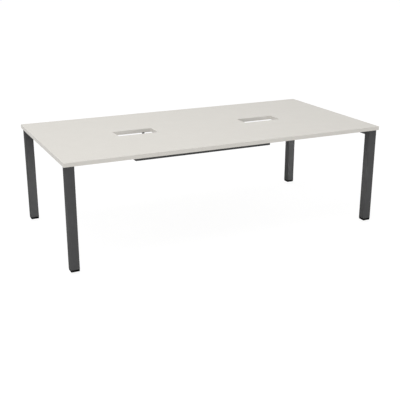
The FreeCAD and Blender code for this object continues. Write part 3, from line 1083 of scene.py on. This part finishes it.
@dataclass
class EndRail:
    """The rail between the two legs of one end, with its board screws and its welds."""

    end: Side
    fixings: BoardFixings
    fixing_margin: float = 0.108
    weld_leg: float = 0.0028
    weld_ripple: float = 0.0004
    weld_step: float = 0.0022
    weld_run_out: float = 0.004

    RIPPLE_STEPS = 8
    BEAD_STEPS = 7

    def build(self) -> None:
        """Makes the rail and the weld bead at each of its ends."""
        tube = Tube(f"{self.end.value}_end_rail", Run.Y)
        far = NodeBox.of(tube.node).high[1] - self.fixing_margin
        tube.build(f"{self.end.value}_rail_tube", self.fixings.holes(tube.line(), (-far, 0.0, far)))
        for side in LONG_SIDES:
            self.add_weld(tube, side)

    def add_weld(self, tube: Tube, side: Side) -> None:
        """Lays a bead under the rail and up its outer side, against the leg.

        The bead's point at distance s along the rail's edge and angle a is the edge's point, moved out by
        w cos a and along the rail by w sin a, where w is the bead's leg with a ripple on it and a fade at its
        ends.

        Args:
            tube: The rail's tube.
            side: The side that the leg stands on.
        """
        box = NodeBox.of(tube.node)
        width, _, height = box.size
        under, upright = (width - tube.corner, 0.0), (height - tube.corner, 0.0)
        edge = FoldedLine(
            (-width / 2, -height / 2), 0.0, (under, (QUARTER * tube.corner, QUARTER), upright))
        length = edge.ends[-1]
        s = np.linspace(0.0, length, int(length / self.weld_step * self.RIPPLE_STEPS))
        place, normal = edge.at(s)
        fade = np.sqrt(np.clip(np.minimum(s, length - s) / self.weld_run_out, 0.0, 1.0))
        ripple = self.weld_ripple * np.abs(np.sin(math.pi * s / self.weld_step))
        size = ((self.weld_leg + ripple) * fade)[:, None]
        angle = np.linspace(0.0, QUARTER, self.BEAD_STEPS)[None, :]
        out = np.concatenate([size * np.cos(angle), np.zeros_like(size)], axis=1)
        along = np.concatenate([size * np.sin(angle), np.zeros_like(size)], axis=1)
        u = place[:, :1] + out * normal[:, :1]
        v = place[:, 1:] + out * normal[:, 1:]
        x, _, z = box.middle
        points = np.stack([x + self.end.sign * u, side.sign * (box.high[1] - along), z + v], axis=-1)
        quads = grid_quads(len(s), points.shape[1], wrap_columns=True)
        surface = Surface(points.reshape(-1, 3), quads).welded().outward()
        add_piece(f"{side.value}_{self.end.value}_rail_weld", surface, POWDER_COAT)


@dataclass
class Beam:
    """One long beam, with holes for the board's screws and for the screws that hold its ends."""

    side: Side
    fixings: BoardFixings
    fixing_margin: float = 0.4275
    end_hole: float = 0.0088
    end_screw_spacing: float = 0.04
    connector_middle: float = 0.0445

    def build(self) -> None:
        """Makes the beam and dresses the connectors in its ends."""
        tube = Tube(f"{self.side.value}_beam", Run.X)
        line = tube.line()
        reach = NodeBox.of(tube.node).high[0]
        far = reach - self.fixing_margin
        holes = self.fixings.holes(line, (-far, 0.0, far))
        lower = line.ends[0:2].mean()
        for end in ENDS:
            for step in (-self.end_screw_spacing / 2, self.end_screw_spacing / 2):
                place = end.sign * (reach - self.connector_middle + step)
                holes.append(Hole.round(place, lower, self.end_hole))
        tube.build(f"{self.side.value}_beam_tube", holes)
        for end in ENDS:
            dress_node(f"{self.side.value}_{end.value}_beam_connector", POWDER_COAT)


@dataclass
class CableTray:
    """The folded tray with its four hangers and the nuts of its bolts."""

    sheet: float = 0.0015
    bend: float = 0.004
    lip: float = 0.01
    lip_bend: float = 0.0025
    slot_length: float = 0.04
    slot_width: float = 0.006
    slot_inset: float = 0.05
    slot_end_margin: float = 0.06
    slots_per_row: int = 9
    bolt_hole: float = 0.0058
    bolt_edge: float = 0.014
    strap: float = 0.002
    strap_bend: float = 0.003
    strap_screw_hole: float = 0.0048
    strap_screw_edge: float = 0.01
    nut_flats: float = 0.008
    nut_height: float = 0.004
    nut_bore: float = 0.0026
    nut_chamfer: float = 0.0004
    nut_arris: float = 0.0002
    nut_face_inset: float = 0.0001

    def build(self) -> None:
        """Makes the tray, its hangers and its nuts."""
        self.add_tray()
        for corner in Corner:
            self.add_hanger(corner)
        self.add_nuts()

    def bolt_heights(self) -> tuple[float, float]:
        """Heights of the two bolts in each hanger."""
        low, high = NodeBox.of("front_left_tray_hanger").low[2], NodeBox.of("cable_tray").high[2]
        return low + self.bolt_edge, high - self.bolt_edge

    def hanger_x(self) -> float:
        """Distance of the hangers from the table's middle."""
        return NodeBox.of("front_right_tray_hanger").middle[0]

    def add_tray(self) -> None:
        """Folds the channel, with tie slots in its floor and bolt holes in its walls."""
        box = NodeBox.of("cable_tray")
        length, width, height = box.size
        top = box.high[2]
        lip = (self.lip - self.lip_bend, 0.0)
        lip_bend = (QUARTER * self.lip_bend, QUARTER)
        wall = (height - self.lip_bend - self.bend, 0.0)
        bend = (QUARTER * self.bend, QUARTER)
        floor = (width - 2 * self.bend, 0.0)
        stretches = (lip, lip_bend, wall, bend, floor, bend, wall, lip_bend, lip)
        line = FoldedLine((self.lip - width / 2, top), math.pi, stretches)
        # Distances along the line of the upper ends of both walls and of the floor's middle.
        front_wall, back_wall, floor_middle = line.ends[2], line.ends[7], line.ends[4:6].mean()
        reach = length / 2 - self.slot_end_margin - self.slot_length / 2
        slot_offset = width / 2 - self.slot_inset
        holes = [
            Hole(x, floor_middle + side.sign * slot_offset, self.slot_length, self.slot_width)
            for side in LONG_SIDES for x in np.linspace(-reach, reach, self.slots_per_row)
        ]
        for end in ENDS:
            x = end.sign * self.hanger_x()
            for z in self.bolt_heights():
                drop = top - self.lip_bend - z
                holes.append(Hole.round(x, front_wall + drop, self.bolt_hole))
                holes.append(Hole.round(x, back_wall - drop, self.bolt_hole))
        surface = folded_sheet(line, (box.low[0], box.high[0]), self.sheet, Run.X, holes)
        add_piece("cable_tray_sheet", surface, POWDER_COAT, "cable_tray")

    def add_hanger(self, corner: Corner) -> None:
        """Folds one hanger from a flat strap: down the tray's wall, round a bend and out under the board.

        Args:
            corner: The hanger's corner of the tray.
        """
        node = f"{corner.prefix}_tray_hanger"
        box = NodeBox.of(node)
        width, reach, height = box.size
        upright = (height - self.strap_bend, 0.0)
        bend = (QUARTER * self.strap_bend, -QUARTER)
        flange = (reach - self.strap_bend, 0.0)
        line = FoldedLine((0.0, box.low[2]), QUARTER, (upright, bend, flange))
        holes = [Hole.round(0.0, z - box.low[2], self.bolt_hole) for z in self.bolt_heights()]
        flange_start = line.ends[2] - self.strap_bend
        for y in (self.strap + self.strap_screw_edge, reach - self.strap_screw_edge):
            holes.append(Hole.round(0.0, flange_start + y, self.strap_screw_hole))
        surface = folded_sheet(line, (-width / 2, width / 2), -self.strap, Run.X, holes)
        sign = corner.side.sign
        near = min(abs(box.low[1]), abs(box.high[1]))
        points = surface.points * (1.0, sign, 1.0) + (box.middle[0], sign * near, 0.0)
        surface = Surface(points, surface.quads).outward()
        add_piece(f"{corner.prefix}_hanger_strap", surface, POWDER_COAT, node)

    def add_nuts(self) -> None:
        """Lofts the hexagon nuts of the tray's bolts, with chamfered corners and bores."""
        half, height, bore, chamfer = self.nut_flats / 2, self.nut_height, self.nut_bore, self.nut_chamfer
        face = half - self.nut_face_inset
        slope = (half / math.cos(math.pi / HEXAGON) - half) / 2
        stations = [
            Station.round(bore + chamfer, 0.0),
            Station.round(face, 0.0),
            Station(half, self.nut_arris, slope),
            Station(half, self.nut_arris, height - slope),
            Station.round(face, height),
            Station.round(bore + chamfer, height),
            Station.round(bore, height - chamfer),
            Station.round(bore, chamfer),
        ]
        nut = lofted(HEXAGON, stations, closed=True)
        x, y, z = nut.points.T
        wall = NodeBox.of("cable_tray").high[1] - self.sheet
        parts = []
        for corner in Corner:
            sign = corner.side.sign
            turned = Surface(np.column_stack([x, -sign * z, y]), nut.quads).outward()
            for bolt in self.bolt_heights():
                parts.append(turned.moved((corner.end.sign * self.hanger_x(), sign * wall, bolt)))
        add_piece("tray_hexagon_nuts", Surface.joined(parts), ZINC, "tray_nuts")


@dataclass
class Fasteners:
    """The screws and captive nuts that keep their CAD shapes."""

    zinc_nodes: tuple[str, ...] = ("tabletop_screws", "leg_plug_nuts")
    black_nodes: tuple[str, ...] = ("beam_screws", "hanger_screws", "tray_bolts")

    def build(self) -> None:
        """Dresses them in zinc or black."""
        for node in self.zinc_nodes:
            dress_node(node, ZINC)
        for node in self.black_nodes:
            dress_node(node, BLACKENED)


# Studio

@dataclass(frozen=True)
class Lamp:
    """One soft lamp that faces a point of the table: its width and height, power and spread in degrees."""

    name: str
    place: tuple[float, float, float]
    target: tuple[float, float, float]
    size: tuple[float, float]
    power: float
    spread: float = 180.0

    def build(self) -> None:
        """Hangs the lamp and turns it to its target."""
        data = bpy.data.lights.new(self.name, "AREA")
        data.shape = "RECTANGLE"
        data.energy = self.power
        data.spread = math.radians(self.spread)
        data.size, data.size_y = self.size
        lamp = add_object(self.name, data)
        lamp.location = self.place
        lamp.visible_camera = False
        x, y, z = np.array(self.target) - np.array(self.place)
        lamp.rotation_euler = (math.atan2(math.hypot(x, y), -z), 0.0, math.atan2(-x, y))


@dataclass
class Studio:
    """The white floor, the lamps, the sky and the camera."""

    floor_drop: float = 0.0155
    floor_size: float = 60.0
    floor_grey: float = 0.9
    floor_share: float = 0.16
    floor_glow: float = 0.926
    sky: float = 0.506
    camera_place: tuple[float, float, float] = (-2.3058, -4.9366, 1.9774)
    camera_yaw: float = 25.122
    camera_pitch: float = 18.536
    lens: float = 66.855
    lamps: tuple[Lamp, ...] = (
        Lamp("overhead_lamp", (-2.0, -1.0, 6.0), (0.0, 0.0, 0.7), (4.0, 4.0), 168.0),
        Lamp("front_lamp", (1.0, -7.0, 1.5), (0.0, 0.0, 0.4), (4.0, 3.0), 36.0),
        Lamp("left_fill", (0.3, -2.2, 0.45), (-1.158, 0.528, 0.25), (0.3, 0.3), 0.33, 18.0),
        Lamp("right_fill", (2.2, -2.2, 0.45), (1.158, 0.528, 0.25), (0.3, 0.3), 0.42, 18.0),
        Lamp("cross_fill", (-3.0, -1.2, 0.35), (1.128, -0.558, 0.35), (0.2, 0.2), 0.095, 9.0),
        Lamp("far_fill", (-3.0, -1.2, 0.35), (1.128, 0.558, 0.35), (0.2, 0.2), 0.07, 9.0),
    )

    FLOOR_GRID = 3

    def build(self) -> None:
        """Sets the stage."""
        bpy.context.scene.view_settings.view_transform = "Standard"
        self.add_floor()
        self.light_sky()
        for lamp in self.lamps:
            lamp.build()
        self.add_camera()

    @staticmethod
    def seen(nodes: ShaderTree) -> Socket:
        """Tells camera, mirror and glass rays, which see the white background, from the rest.

        Args:
            nodes: The tree to work in.
        Returns:
            One for those rays and zero for the rest.
        """
        path = nodes.add("ShaderNodeLightPath").outputs
        mirrored = nodes.math("MAXIMUM", path["Is Camera Ray"], path["Is Glossy Ray"])
        return nodes.math("MAXIMUM", mirrored, path["Is Transmission Ray"])

    def add_floor(self) -> None:
        """Lays the floor at the lowest reach of the feet: white to the eye, with the table's faint shadow."""
        spread = np.linspace(-self.floor_size / 2, self.floor_size / 2, self.FLOOR_GRID)
        x, y = np.meshgrid(spread, spread, indexing="ij")
        points = np.stack([x, y, np.full_like(x, -self.floor_drop)], axis=-1).reshape(-1, 3)
        mesh = bpy.data.meshes.new("studio_floor")
        mesh.from_pydata(points.tolist(), [], grid_quads(self.FLOOR_GRID, self.FLOOR_GRID).tolist())
        material = bpy.data.materials.new("studio_floor")
        material.use_nodes = True
        tree = material.node_tree
        tree.nodes.remove(tree.nodes["Principled BSDF"])
        nodes = ShaderTree(tree)
        plain = nodes.add("ShaderNodeBsdfDiffuse", {"Color": grey(self.floor_grey)})
        shaded = nodes.add("ShaderNodeBsdfDiffuse", {"Color": grey(self.floor_share)})
        glow = nodes.add("ShaderNodeEmission", {"Strength": self.floor_glow})
        white = nodes.add("ShaderNodeAddShader", {0: shaded.outputs[0], 1: glow.outputs[0]})
        mix = nodes.add("ShaderNodeMixShader", {
            0: self.seen(nodes), 1: plain.outputs[0], 2: white.outputs[0]})
        nodes.fill(tree.nodes["Material Output"], {"Surface": mix.outputs[0]})
        mesh.materials.append(material)
        add_object("studio_floor", mesh)

    def light_sky(self) -> None:
        """Makes an even sky that lights the table softly and looks white behind it."""
        world = bpy.data.worlds.new("studio_sky")
        bpy.context.scene.world = world
        world.use_nodes = True
        tree = world.node_tree
        nodes = ShaderTree(tree)
        soft = tree.nodes["Background"]
        nodes.fill(soft, {"Color": grey(1.0), "Strength": self.sky})
        white = nodes.add("ShaderNodeBackground", {"Color": grey(1.0), "Strength": 1.0})
        mix = nodes.add("ShaderNodeMixShader", {
            0: self.seen(nodes), 1: soft.outputs[0], 2: white.outputs[0]})
        nodes.fill(tree.nodes["World Output"], {"Surface": mix.outputs[0]})

    def add_camera(self) -> None:
        """Sets the camera where the photograph was taken from."""
        data = bpy.data.cameras.new("photo_camera")
        data.lens = self.lens
        camera = add_object("photo_camera", data)
        camera.location = self.camera_place
        camera.rotation_euler = (
            QUARTER - math.radians(self.camera_pitch), 0.0, -math.radians(self.camera_yaw))
        bpy.context.scene.camera = camera


def main() -> None:
    """Builds the table's sub-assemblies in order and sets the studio."""
    logging.basicConfig(level=logging.INFO, format="%(message)s")
    fixings = BoardFixings()
    assemblies = [
        Tabletop(),
        *[part(corner) for corner in Corner for part in (Leg, LevellingFoot)],
        *[EndRail(end, fixings) for end in ENDS],
        *[Beam(side, fixings) for side in LONG_SIDES],
        CableTray(), Fasteners(), Studio(),
    ]
    for assembly in assemblies:
        assembly.build()


if __name__ == "__main__":
    main()
